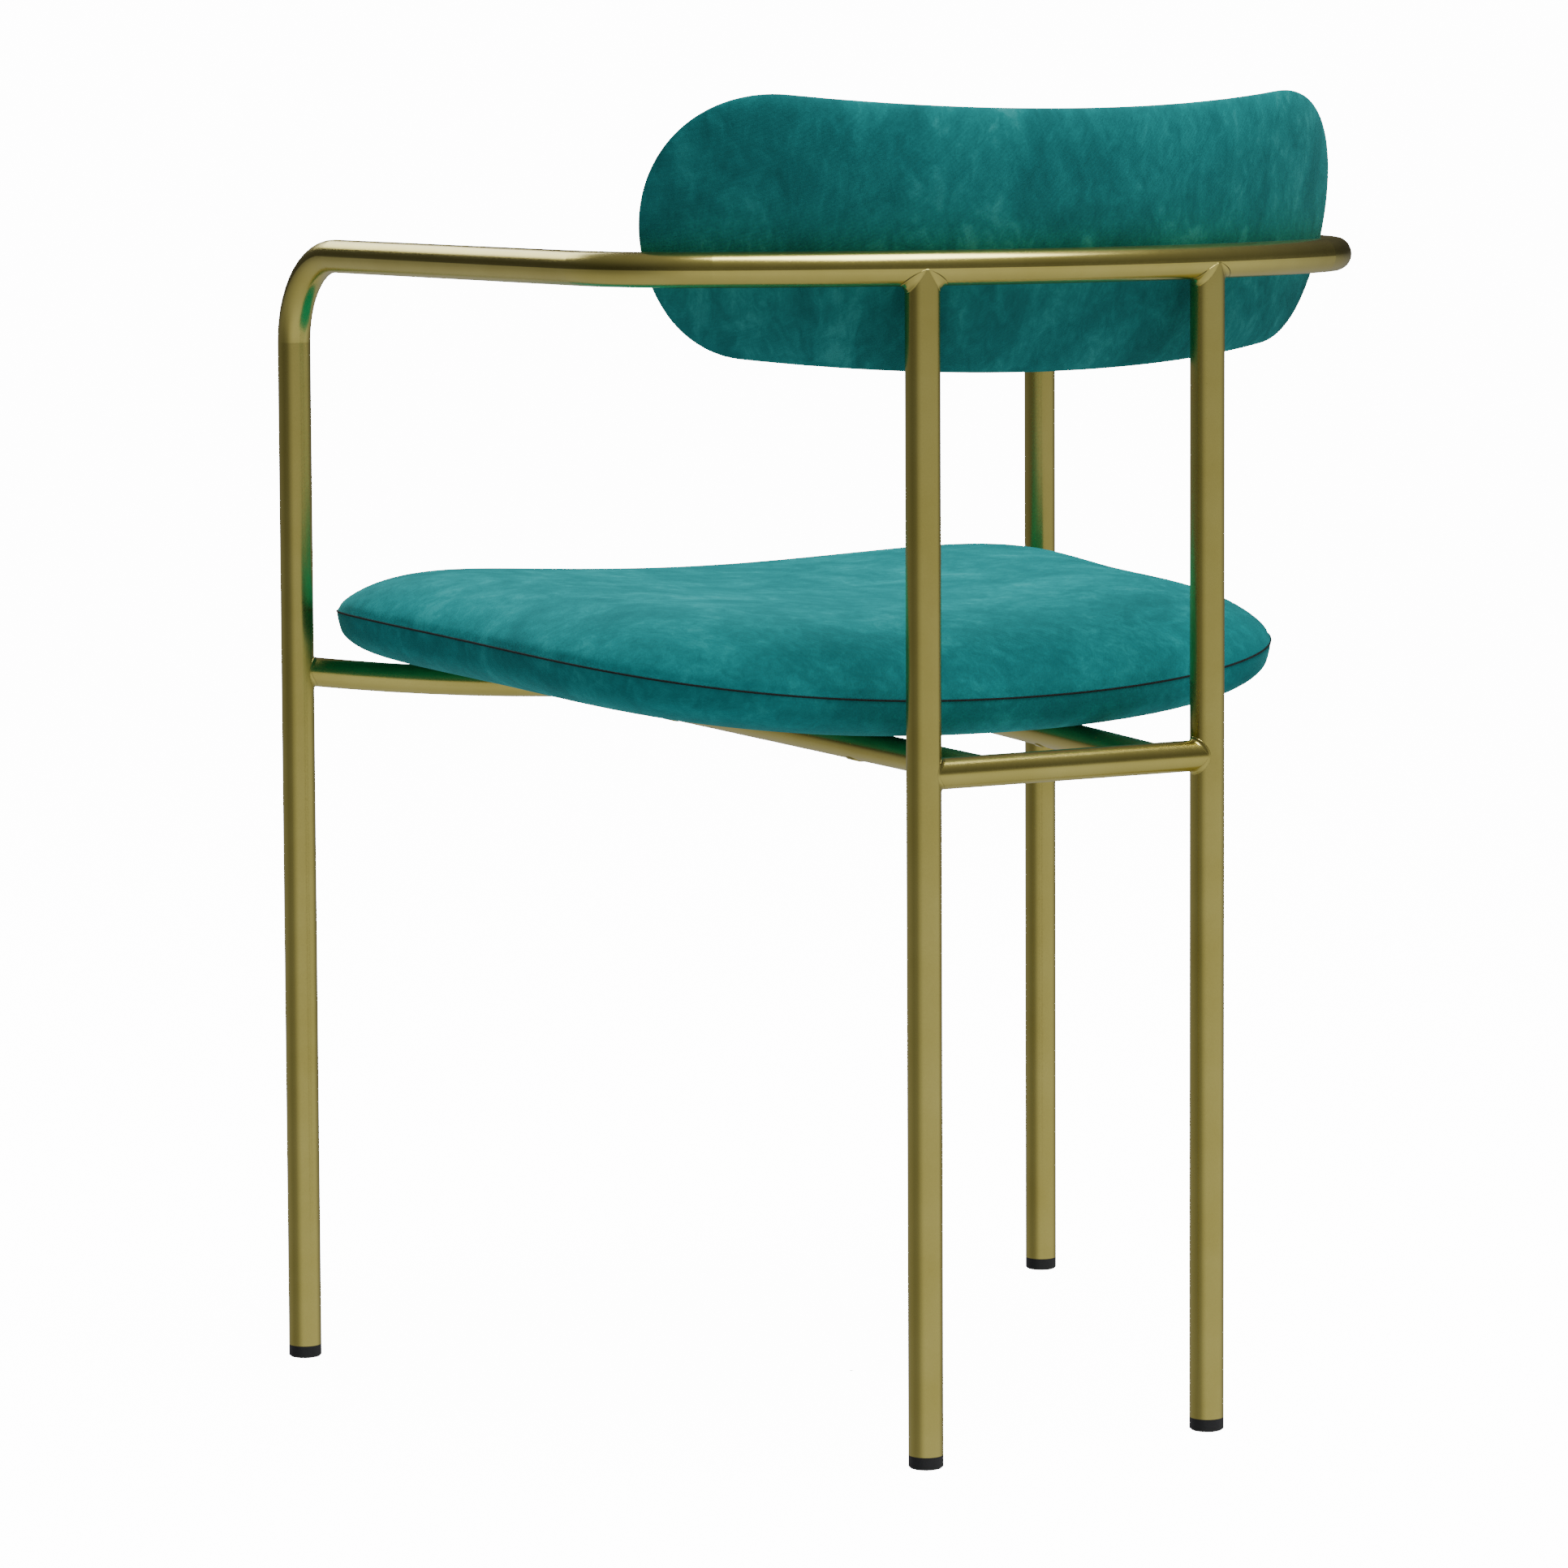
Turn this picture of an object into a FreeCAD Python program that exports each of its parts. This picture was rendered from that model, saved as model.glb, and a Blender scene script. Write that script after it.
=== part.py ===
"""Dining armchair: bent brass-finished tube frame, upholstered saddle seat and curved back pad.

Millimetres, +Z up. The chair faces -Y and +X is the sitter's left. The origin is on the floor,
under the middle of the chair's bounding box.
"""
import FreeCAD, Part
import bisect
import math
import os

Vector = FreeCAD.Vector
UP = Vector(0, 0, 1)

# ------------------------------------------------------------------ driving sizes
# Frame tubes
tube_od = 20.0
tube_wall = 1.5
rail_od = 18.0
rail_wall = 1.5
weld_size = 1.8

# Frame layout, centre line to centre line
front_leg_spacing = 535.6
rear_leg_spacing = 190.6
leg_depth = 456.2
arm_height = 679.4
arm_splay_angle = 3.08
arm_end_radius = 53.6
back_rail_radius = 403.2
back_corner_radius = 91.8
front_rail_end_height = 425.1
front_rail_sag = 19.3
cross_rail_height = 394.9
bar_rear_spacing = 115.8
bar_front_spacing = 164.4

# Foot glides
glide_height = 7.5
glide_edge_radius = 1.0
glide_plug_length = 16.0
glide_plug_clearance = 0.15
glide_plug_bore = 9.0

# Seat pad
seat_side_gap = 21.5
seat_rear_gap = 47.5
seat_overhang = 58.3
seat_outline_power = 2.88
seat_front_widening = 0.093
seat_end_fullness = 0.227
seat_saddle_radius = 1458.0
seat_under_depth = 24.7
seat_under_edge_power = 18.6
seat_under_round_power = 2.02
seat_crown_height = 40.8
seat_crown_edge_power = 6.56
seat_crown_round_power = 1.21
seat_rest_clearance = 0.3
seat_board_thickness = 12.0
seat_board_share = 0.82
seat_board_lift = 0.8

# Back pad: outline as tangent arcs, starting at the middle of the top edge
back_pad_half_height = 79.2
back_top_radius = 3306.0
back_pad_end_gap = 23.5
back_upper_corner_radius = 81.5
back_upper_corner_turn = 129.6
back_lower_corner_radius = 54.8
back_lower_corner_turn = 182.8
back_pad_radius = 440.0
back_pad_lift = 10.6
back_recline_angle = 10.9
back_pad_smile = 0.000248
back_pad_rear_crown = 14.6
back_pad_front_crown = 22.2
back_crown_edge_power = 1.97
back_crown_round_power = 1.51
back_rest_clearance = 0.3
back_board_thickness = 9.0
back_board_share = 0.70
back_board_front_offset = 3.0

# Upholstery
cover_thickness = 1.2
seam_height = 0.8
layer_gap = 0.3

# Fasteners
bolt_radius = 2.95
thread_radius = 3.0
clearance_radius = 3.3
seat_bolt_rear_setback = 127.0
seat_bolt_front_setback = 330.0
seat_bolt_head_radius = 5.0
seat_bolt_head_height = 4.0
bolt_tip_gap = 1.0
washer_radius = 5.6
tee_nut_barrel_radius = 4.0
tee_nut_barrel_length = 9.0
tee_nut_flange_radius = 9.0
tee_nut_flange_thickness = 1.5
seat_bolt_tip_room = 6.0
fit_gap = 0.2
access_hole_radius = 6.0
plug_stand_out = 0.6
plug_depth = 3.0
back_bolt_inner_x = 45.0
back_bolt_outer_x = 135.0
back_bolt_head_radius = 6.5
back_bolt_head_height = 3.5
back_bolt_head_recess = 1.0
back_bolt_head_room = 2.0
back_hole_length = 80.0
rivet_nut_radius = 4.5
rivet_nut_length = 11.0
rivet_nut_bulb_radius = 5.6
rivet_nut_bulb_length = 2.0

# ------------------------------------------------------------------ sizes that follow from them
tube_r = tube_od / 2
rail_r = rail_od / 2
front_leg_x = front_leg_spacing / 2
rear_leg_x = rear_leg_spacing / 2
back_rail_drop = math.sqrt(back_rail_radius ** 2 - rear_leg_x ** 2)
chair_depth = leg_depth + seat_overhang + back_rail_radius - back_rail_drop + tube_r
rear_leg_y = chair_depth / 2 - (back_rail_radius - back_rail_drop) - tube_r
front_leg_y = rear_leg_y - leg_depth
back_rail_centre = Vector(0, rear_leg_y - back_rail_drop, arm_height)
front_rail_radius = (front_leg_x ** 2 + front_rail_sag ** 2) / (2 * front_rail_sag)
front_rail_middle_height = front_rail_end_height - front_rail_sag
bar_rear_x = bar_rear_spacing / 2
bar_front_x = bar_front_spacing / 2
seat_mid_width = front_leg_spacing - 2 * seat_side_gap
seat_depth = leg_depth + seat_overhang - seat_rear_gap
seat_centre_y = front_leg_y - seat_overhang + seat_depth / 2
back_pad_half_length = front_leg_x - back_pad_end_gap
back_pad_centre_height = arm_height + back_pad_lift
back_corner_reach = back_pad_half_length - back_upper_corner_radius
back_top_turn = math.asin(back_corner_reach / (back_top_radius - back_upper_corner_radius))


def front_rail_height(x):
    """Height of the front rail's centre line, a circular sag between the front legs."""
    return front_rail_middle_height + front_rail_radius - math.sqrt(front_rail_radius ** 2 - x ** 2)


bar_front_height = front_rail_height(bar_front_x)


# ------------------------------------------------------------------ frame helpers
def run(start, end):
    """A straight length of centre line."""
    return Part.makeLine(start, end)


def bend(start, middle, end):
    """A circular length of centre line through three points."""
    return Part.Arc(start, middle, end).toShape()


def rod(edges, radius):
    """Solid round bar along straight and circular edges that join tangentially."""
    pieces = []
    for edge in edges:
        start = edge.valueAt(edge.FirstParameter)
        tangent = edge.tangentAt(edge.FirstParameter)
        if isinstance(edge.Curve, Part.Circle):
            section = Part.Face(Part.Wire(Part.makeCircle(radius, start, tangent)))
            angle = math.degrees(edge.LastParameter - edge.FirstParameter)
            pieces.append(section.revolve(edge.Curve.Center, edge.Curve.Axis, angle))
        else:
            pieces.append(Part.makeCylinder(radius, edge.Length, start, tangent))
    if len(pieces) == 1:
        return pieces[0]
    return pieces[0].multiFuse(pieces[1:]).removeSplitter()


def hollow(edges, outside_diameter, wall):
    """Round tube along the same kind of edges."""
    outer = rod(edges, outside_diameter / 2)
    return outer.cut(rod(edges, outside_diameter / 2 - wall))


def mirrored(shape):
    return shape.mirror(Vector(0, 0, 0), Vector(1, 0, 0))


def only_solid(shape):
    """The single solid of a boolean result, or the largest if slivers came with it."""
    return max(shape.Solids, key=lambda solid: solid.Volume)


# ------------------------------------------------------------------ frame centre lines
def hoop_corner():
    """Start, centre and end of the left corner arc between the arm and the back rail.

    The arm is straight and splays outwards to the front. The corner arc touches the arm line
    and, from inside, the back rail's arc, which runs through both rear leg centres.
    """
    splay = math.radians(arm_splay_angle)
    rearward = Vector(-math.sin(splay), math.cos(splay), 0)
    inward = Vector(-math.cos(splay), -math.sin(splay), 0)
    leg = Vector(front_leg_x, front_leg_y, arm_height)
    offset_start = leg + inward * back_corner_radius
    to_start = offset_start - back_rail_centre
    along = rearward.dot(to_start)
    reach = to_start.dot(to_start) - (back_rail_radius - back_corner_radius) ** 2
    arm_length = -along + math.sqrt(along ** 2 - reach)
    centre = offset_start + rearward * arm_length
    outward = (centre - back_rail_centre).normalize()
    return leg + rearward * arm_length, centre, back_rail_centre + outward * back_rail_radius


corner_start, corner_centre, corner_end = hoop_corner()


def hoop_edges():
    """Front leg, arm, back rail, arm and front leg as one bent centre line."""
    half_way = ((corner_start - corner_centre) + (corner_end - corner_centre)).normalize()
    corner_middle = corner_centre + half_way * back_corner_radius
    leg = Vector(front_leg_x, front_leg_y, arm_height)
    rearward = (corner_start - leg).normalize()
    bend_top = leg + rearward * arm_end_radius
    bend_centre = bend_top - UP * arm_end_radius
    bend_middle = bend_centre + (UP - rearward).normalize() * arm_end_radius
    leg_top = leg - UP * arm_end_radius
    leg_foot = Vector(front_leg_x, front_leg_y, glide_height)
    back_middle = back_rail_centre + Vector(0, back_rail_radius, 0)

    def other_side(point):
        return Vector(-point.x, point.y, point.z)

    half = [
        run(leg_foot, leg_top),
        bend(leg_top, bend_middle, bend_top),
        run(bend_top, corner_start),
        bend(corner_start, corner_middle, corner_end),
    ]
    back = bend(corner_end, back_middle, other_side(corner_end))
    other_half = [
        bend(other_side(corner_end), other_side(corner_middle), other_side(corner_start)),
        run(other_side(corner_start), other_side(bend_top)),
        bend(other_side(bend_top), other_side(bend_middle), other_side(leg_top)),
        run(other_side(leg_top), other_side(leg_foot)),
    ]
    return half + [back] + other_half


def rear_leg_edge():
    return run(Vector(rear_leg_x, rear_leg_y, glide_height), Vector(rear_leg_x, rear_leg_y, arm_height))


def cross_rail_edge():
    return run(
        Vector(-rear_leg_x, rear_leg_y, cross_rail_height), Vector(rear_leg_x, rear_leg_y, cross_rail_height)
    )


def front_rail_edge():
    return bend(
        Vector(-front_leg_x, front_leg_y, front_rail_end_height),
        Vector(0, front_leg_y, front_rail_middle_height),
        Vector(front_leg_x, front_leg_y, front_rail_end_height),
    )


def seat_bar_edge(side=1):
    """Centre line of the left (side 1) or right (side -1) seat bar."""
    return run(
        Vector(side * bar_rear_x, rear_leg_y, cross_rail_height),
        Vector(side * bar_front_x, front_leg_y, bar_front_height),
    )


def seat_bar_point(setback):
    """A point on the left seat bar's centre line, this far in front of the rear legs."""
    share = setback / leg_depth
    return Vector(
        bar_rear_x + (bar_front_x - bar_rear_x) * share,
        rear_leg_y - setback,
        cross_rail_height + (bar_front_height - cross_rail_height) * share,
    )


def bead(edges_a, radius_a, edges_b, radius_b):
    """Weld bead: the ring where two bars, each grown by the weld size, still meet outside both."""
    grown_a = rod(edges_a, radius_a + weld_size)
    grown_b = rod(edges_b, radius_b + weld_size)
    both = Part.makeCompound([rod(edges_a, radius_a), rod(edges_b, radius_b)])
    return only_solid(grown_a.common(grown_b).cut(both.Solids[0]).cut(both.Solids[1]))


# ------------------------------------------------------------------ pad surfaces
PATCH_STEPS = 18


def even_spline(points):
    """Cubic spline through the points with evenly spaced parameters."""
    curve = Part.BSplineCurve()
    curve.interpolate(Points=points, Parameters=[float(k) for k in range(len(points))])
    return curve


def round_patch(place):
    """B-spline face over a disc: place(radius share, turn) gives each point.

    A square grid is bent to the disc, so the face has four sides and no pole, and its rows
    crowd towards the rim, where a pad turns over.
    """
    rows = []
    for i in range(PATCH_STEPS + 1):
        u = 2 * i / PATCH_STEPS - 1
        row = []
        for j in range(PATCH_STEPS + 1):
            v = 2 * j / PATCH_STEPS - 1
            disc_x = u * math.sqrt(1 - v * v / 2)
            disc_y = v * math.sqrt(1 - u * u / 2)
            share = math.sin(min(math.hypot(disc_x, disc_y), 1) * math.pi / 2)
            row.append(place(share, math.atan2(disc_y, disc_x)))
        rows.append(row)
    row_poles = [even_spline(row).getPoles() for row in rows]
    columns = [even_spline(list(column)) for column in zip(*row_poles)]
    poles = [column.getPoles() for column in columns]
    knots, mults = columns[0].getKnots(), columns[0].getMultiplicities()
    surface = Part.BSplineSurface()
    surface.buildFromPolesMultsKnots(poles, mults, mults, knots, knots, False, False, 3, 3)
    return Part.Face(surface)


def side_edges(face):
    """The four boundary edges of a patch in a fixed order."""
    surface = face.Surface
    u0, u1, v0, v1 = surface.bounds()
    return [
        surface.uIso(u0).toShape(),
        surface.vIso(v1).toShape(),
        surface.uIso(u1).toShape(),
        surface.vIso(v0).toShape(),
    ]


def solid_between(lower_place, upper_place):
    """Closed solid between two patches, walled by ruled faces round the rim."""
    lower = round_patch(lower_place)
    upper = round_patch(upper_place)
    walls = [Part.makeRuledSurface(a, b) for a, b in zip(side_edges(lower), side_edges(upper))]
    shell = Part.Compound([lower, upper] + walls)
    shell.sewShape()
    solid = Part.Solid(shell.Shells[0] if shell.Shells else Part.Shell(shell.Faces))
    if solid.Volume < 0:
        solid.reverse()
    return solid


# ------------------------------------------------------------------ seat pad shape
def seat_outline(turn, inset):
    """Seam outline in plan: a superellipse, wider in front and fuller at both ends."""
    power = seat_outline_power
    reach = (abs(math.cos(turn)) ** power + abs(math.sin(turn)) ** power) ** (-1 / power)
    across = reach * math.cos(turn)
    along = reach * math.sin(turn)
    half_width = seat_mid_width / 2 - inset
    half_depth = seat_depth / 2 - inset
    x = half_width * across * (1 + seat_front_widening * along + seat_end_fullness * along ** 2)
    return x, -half_depth * along


def seat_underside(x, y):
    """Height of the saddle that rests on the two seat bars."""
    share = (rear_leg_y - y) / leg_depth
    bar_height = cross_rail_height + (bar_front_height - cross_rail_height) * share
    saddle = (x ** 2 - bar_rear_x ** 2) / (2 * seat_saddle_radius)
    return bar_height + rail_r + seat_rest_clearance + saddle


def seat_place(scale, inset, height):
    """Point function for a seat layer: height(share) is measured up from the saddle."""

    def place(share, turn):
        edge_x, edge_y = seat_outline(turn, inset)
        x = edge_x * share * scale
        y = seat_centre_y + edge_y * share * scale
        return Vector(x, y, seat_underside(x, y) + height(share))

    return place


def seat_crown(inset):
    """Upper profile: flat-topped crown that rolls down to the seam."""

    def height(share):
        crown = (1 - share ** seat_crown_edge_power) ** (1 / seat_crown_round_power)
        return seat_under_depth + seam_height / 2 + (seat_crown_height - seam_height / 2 - inset) * crown

    return height


def seat_belly(inset):
    """Lower profile: flat under the board, rolling up to the seam."""

    def height(share):
        drop = (1 - share ** seat_under_edge_power) ** (1 / seat_under_round_power)
        return seat_under_depth - seam_height / 2 - (seat_under_depth - seam_height / 2 - inset) * drop

    return height


def level(height):
    """A layer at one height above the saddle."""
    return lambda share: height


# ------------------------------------------------------------------ back pad shape
def back_outline_arcs():
    """Half outline as (start heading, end heading, radius); the bottom arc closes it on the centre."""
    turns = [back_top_turn, math.radians(back_upper_corner_turn), math.radians(back_lower_corner_turn)]
    width = back_top_radius * math.sin(turns[0])
    width += back_upper_corner_radius * (math.sin(turns[1]) - math.sin(turns[0]))
    width += back_lower_corner_radius * (math.sin(turns[2]) - math.sin(turns[1]))
    bottom_radius = width / math.sin(turns[2])
    return [
        (0.0, turns[0], back_top_radius),
        (turns[0], turns[1], back_upper_corner_radius),
        (turns[1], turns[2], back_lower_corner_radius),
        (turns[2], math.pi, bottom_radius),
    ]


def sample_back_outline(steps=60):
    """The half outline as points (s, z), top middle to bottom middle."""
    s, z = 0.0, back_pad_half_height
    points = [(s, z)]
    for start, end, radius in back_outline_arcs():
        for k in range(1, steps + 1):
            heading = start + (end - start) * k / steps
            points.append(
                (
                    s + radius * (math.sin(heading) - math.sin(start)),
                    z - radius * (math.cos(start) - math.cos(heading)),
                )
            )
        s, z = points[-1]
    return points


back_outline_points = sample_back_outline()
back_half_width = max(point[0] for point in back_outline_points)
back_outline_turns = [
    math.atan2(s / back_half_width, z / back_pad_half_height) for s, z in back_outline_points
]


def back_outline(turn, inset):
    """Outline point (s, z) at a turn measured as on a circle, found between sampled arc points."""
    from_top = abs(math.atan2(math.cos(turn), math.sin(turn)))
    k = min(max(bisect.bisect_left(back_outline_turns, from_top), 1), len(back_outline_turns) - 1)
    before, after = back_outline_turns[k - 1], back_outline_turns[k]
    mix = (from_top - before) / (after - before)
    s = back_outline_points[k - 1][0] * (1 - mix) + back_outline_points[k][0] * mix
    z = back_outline_points[k - 1][1] * (1 - mix) + back_outline_points[k][1] * mix
    side = 1 if math.cos(turn) >= 0 else -1
    return side * s * (1 - inset / back_half_width), z * (1 - inset / back_pad_half_height)


recline = math.radians(back_recline_angle)


def back_crown(height, inset):
    """Domed profile over the middle surface, towards the rear if height is positive."""
    sign = 1 if height > 0 else -1

    def offset(share):
        crown = (1 - share ** back_crown_edge_power) ** (1 / back_crown_round_power)
        return sign * (seam_height / 2 + (abs(height) - seam_height / 2 - inset) * crown)

    return offset


def back_point(s, z, offset, pad_y):
    """Place on the pad: s round the curved middle surface, z up it, offset towards the rear."""
    angle = s / back_pad_radius
    x = (back_pad_radius + offset) * math.sin(angle)
    y = (back_pad_radius + offset) * math.cos(angle) - back_pad_radius
    rise = z + back_pad_smile * s ** 2
    return Vector(
        x,
        pad_y + y * math.cos(recline) + rise * math.sin(recline),
        back_pad_centre_height - y * math.sin(recline) + rise * math.cos(recline),
    )


def frame_clearance(point):
    """Gap from a point to the back rail and its corners, or to the welded rear legs under it."""
    in_corner = abs(point.x) > corner_end.x
    centre = corner_centre if in_corner else back_rail_centre
    radius = back_corner_radius if in_corner else back_rail_radius
    in_plan = math.hypot(abs(point.x) - centre.x, point.y - centre.y)
    rail = math.hypot(in_plan - radius, point.z - arm_height) - tube_r
    if point.z > arm_height:
        return rail
    leg = math.hypot(abs(point.x) - rear_leg_x, point.y - rear_leg_y) - tube_r - weld_size
    return min(rail, leg)


def settled_pad_y():
    """Rearmost pad position that leaves the rest clearance between its rear face and the frame."""
    rear = back_crown(back_pad_rear_crown, 0)
    face = []
    for i in range(31):
        share = 1 - (i / 30) ** 2
        for j in range(121):
            s, z = back_outline(math.pi * j / 120 - math.pi / 2, 0)
            face.append((s * share, z * share, rear(share)))
    ahead, behind = rear_leg_y - 80.0, rear_leg_y + 20.0
    for _ in range(30):
        middle = (ahead + behind) / 2
        if min(frame_clearance(back_point(s, z, o, middle)) for s, z, o in face) > back_rest_clearance:
            ahead = middle
        else:
            behind = middle
    return ahead


back_pad_y = settled_pad_y()


def back_place(scale, inset, offset):
    """Point function for a back layer: offset(share) is measured towards the rear."""

    def place(share, turn):
        s, z = back_outline(turn, inset)
        return back_point(s * share * scale, z * share * scale, offset(share), back_pad_y)

    return place


# ------------------------------------------------------------------ fasteners
def turned(profile, base, axis):
    """Body of revolution from (radius, height) points, its foot at base, its height along axis."""
    points = [Vector(r, 0, h) for r, h in profile]
    face = Part.Face(Part.makePolygon(points + [points[0]]))
    body = face.revolve(Vector(0, 0, 0), UP, 360)
    body.Placement = FreeCAD.Placement(base, FreeCAD.Rotation(UP, axis))
    return body


def both_sides(solids):
    return solids + [mirrored(solid) for solid in solids]


seat_bolt_places = [seat_bar_point(seat_bolt_rear_setback), seat_bar_point(seat_bolt_front_setback)]
seat_bolt_head_top = math.sqrt((rail_r - rail_wall) ** 2 - seat_bolt_head_radius ** 2) - fit_gap


def tee_nut_top(place):
    """Height of a tee nut's flange, set into the board's upper face."""
    board_bottom = seat_underside(place.x, place.y) + cover_thickness + seat_board_lift
    return board_bottom + seat_board_thickness


def back_bolt_lines():
    """(point on the rail's centre line, direction to the pad) for each left-hand back bolt."""
    lines = []
    for x in (back_bolt_inner_x, back_bolt_outer_x):
        angle = math.asin(x / back_rail_radius)
        outward = Vector(math.sin(angle), math.cos(angle), 0)
        lines.append((back_rail_centre + outward * back_rail_radius, outward * -1))
    return lines


def board_front_distance(start, direction):
    """Distance along a back bolt's line to the back board's front face."""
    low, high = 0.0, 80.0
    for _ in range(40):
        middle = (low + high) / 2
        point = start + direction * middle
        if back_offset_of(point) > -back_board_front_offset:
            low = middle
        else:
            high = middle
    return low


def back_offset_of(point):
    """How far a point lies behind the pad's middle surface."""
    y = point.y - back_pad_y
    z = point.z - back_pad_centre_height
    upright_y = y * math.cos(recline) - z * math.sin(recline)
    return math.hypot(point.x, upright_y + back_pad_radius) - back_pad_radius


# ------------------------------------------------------------------ parts
def make_frame_hoop():
    hoop = hollow(hoop_edges(), tube_od, tube_wall)
    for start, direction in back_bolt_lines():
        hole = Part.makeCylinder(rivet_nut_radius + fit_gap / 2, tube_od, start, direction)
        hoop = hoop.cut(hole).cut(mirrored(hole))
    return only_solid(hoop)


def make_rear_leg():
    return only_solid(hollow([rear_leg_edge()], tube_od, tube_wall).cut(rod(hoop_edges(), tube_r)))


def make_cross_rail():
    legs = rod([rear_leg_edge()], tube_r)
    return only_solid(hollow([cross_rail_edge()], rail_od, rail_wall).cut(legs).cut(mirrored(legs)))


def make_front_rail():
    return only_solid(hollow([front_rail_edge()], rail_od, rail_wall).cut(rod(hoop_edges(), tube_r)))


def make_seat_bar(side):
    bar = hollow([seat_bar_edge(side)], rail_od, rail_wall)
    bar = bar.cut(rod([cross_rail_edge()], rail_r)).cut(rod([front_rail_edge()], rail_r))
    for left in seat_bolt_places:
        place = Vector(side * left.x, left.y, left.z)
        bar = bar.cut(Part.makeCylinder(clearance_radius, rail_od, place, UP))
        bar = bar.cut(Part.makeCylinder(access_hole_radius, rail_od, place, UP * -1))
    return only_solid(bar)


def make_weld_beads():
    leg_top = both_sides([bead([rear_leg_edge()], tube_r, hoop_edges()[3:6], tube_r)])
    cross_ends = both_sides([bead([cross_rail_edge()], rail_r, [rear_leg_edge()], tube_r)])
    front_ends = both_sides([bead([front_rail_edge()], rail_r, [hoop_edges()[0]], tube_r)])
    bar_rear = both_sides([bead([seat_bar_edge()], rail_r, [cross_rail_edge()], rail_r)])
    front_bead = bead([seat_bar_edge()], rail_r, [front_rail_edge()], rail_r)
    ground_off = Part.makeBox(
        2 * rail_od, 2 * rail_od, rail_od, Vector(bar_front_x - rail_od, front_leg_y, bar_front_height + rail_r)
    )
    bar_front = both_sides([only_solid(front_bead.cut(ground_off))])
    return {
        "weld_beads_back_rail": leg_top,
        "weld_beads_cross_rail": cross_ends,
        "weld_beads_front_rail": front_ends,
        "weld_beads_seat_bars": bar_rear + bar_front,
    }


def make_foot_glide(x, y):
    plug_radius = tube_r - tube_wall - glide_plug_clearance
    profile = [
        (0, 0),
        (tube_r - glide_edge_radius, 0),
        (tube_r, glide_edge_radius),
        (tube_r, glide_height),
        (plug_radius, glide_height),
        (plug_radius, glide_height + glide_plug_length),
        (glide_plug_bore / 2, glide_height + glide_plug_length),
        (glide_plug_bore / 2, glide_height),
        (0, glide_height),
    ]
    return turned(profile, Vector(x, y, 0), UP)


def seat_board_layer(low, high, spread):
    """A slab following the saddle, spread this far past the board's own edge."""
    inset = cover_thickness - spread
    return solid_between(
        seat_place(seat_board_share, inset, level(low)), seat_place(seat_board_share, inset, level(high))
    )


def make_seat_pad():
    board_low = cover_thickness + seat_board_lift
    board_high = board_low + seat_board_thickness
    board = seat_board_layer(board_low, board_high, 0)
    pocket = seat_board_layer(-seat_under_depth, board_high + layer_gap, layer_gap)
    foam_inset = cover_thickness + layer_gap
    foam = solid_between(
        seat_place(1, foam_inset, seat_belly(foam_inset)), seat_place(1, foam_inset, seat_crown(foam_inset))
    ).cut(pocket)
    top_cover = solid_between(
        seat_place(1, cover_thickness, seat_crown(cover_thickness)), seat_place(1, 0, seat_crown(0))
    )
    under_cover = solid_between(
        seat_place(1, 0, seat_belly(0)), seat_place(1, cover_thickness, seat_belly(cover_thickness))
    )
    for place in seat_bolt_places:
        flange_foot = Vector(place.x, place.y, tee_nut_top(place) - tee_nut_flange_thickness)
        flange_room = Part.makeCylinder(
            tee_nut_flange_radius + fit_gap, 3 * tee_nut_flange_thickness, flange_foot, UP
        )
        barrel_room = Part.makeCylinder(tee_nut_barrel_radius + fit_gap, 4 * rail_od, place, UP)
        bolt_room = Part.makeCylinder(clearance_radius, 4 * rail_od, place, UP)
        above = flange_foot + UP * seat_bolt_tip_room
        low_barrel = barrel_room.cut(Part.makeCylinder(rail_od, 5 * rail_od, flange_foot, UP))
        tip_room = bolt_room.cut(Part.makeCylinder(rail_od, 5 * rail_od, above, UP))
        for tool in (flange_room, mirrored(flange_room)):
            board = board.cut(tool)
            foam = foam.cut(tool)
        for tool in (low_barrel, mirrored(low_barrel)):
            board = board.cut(tool)
        for tool in (tip_room, mirrored(tip_room)):
            foam = foam.cut(tool)
        for tool in (bolt_room, mirrored(bolt_room)):
            under_cover = under_cover.cut(tool)
    return {
        "seat_board": [only_solid(board)],
        "seat_foam": [only_solid(foam)],
        "seat_top_cover": [only_solid(top_cover)],
        "seat_under_cover": [only_solid(under_cover)],
    }


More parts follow.
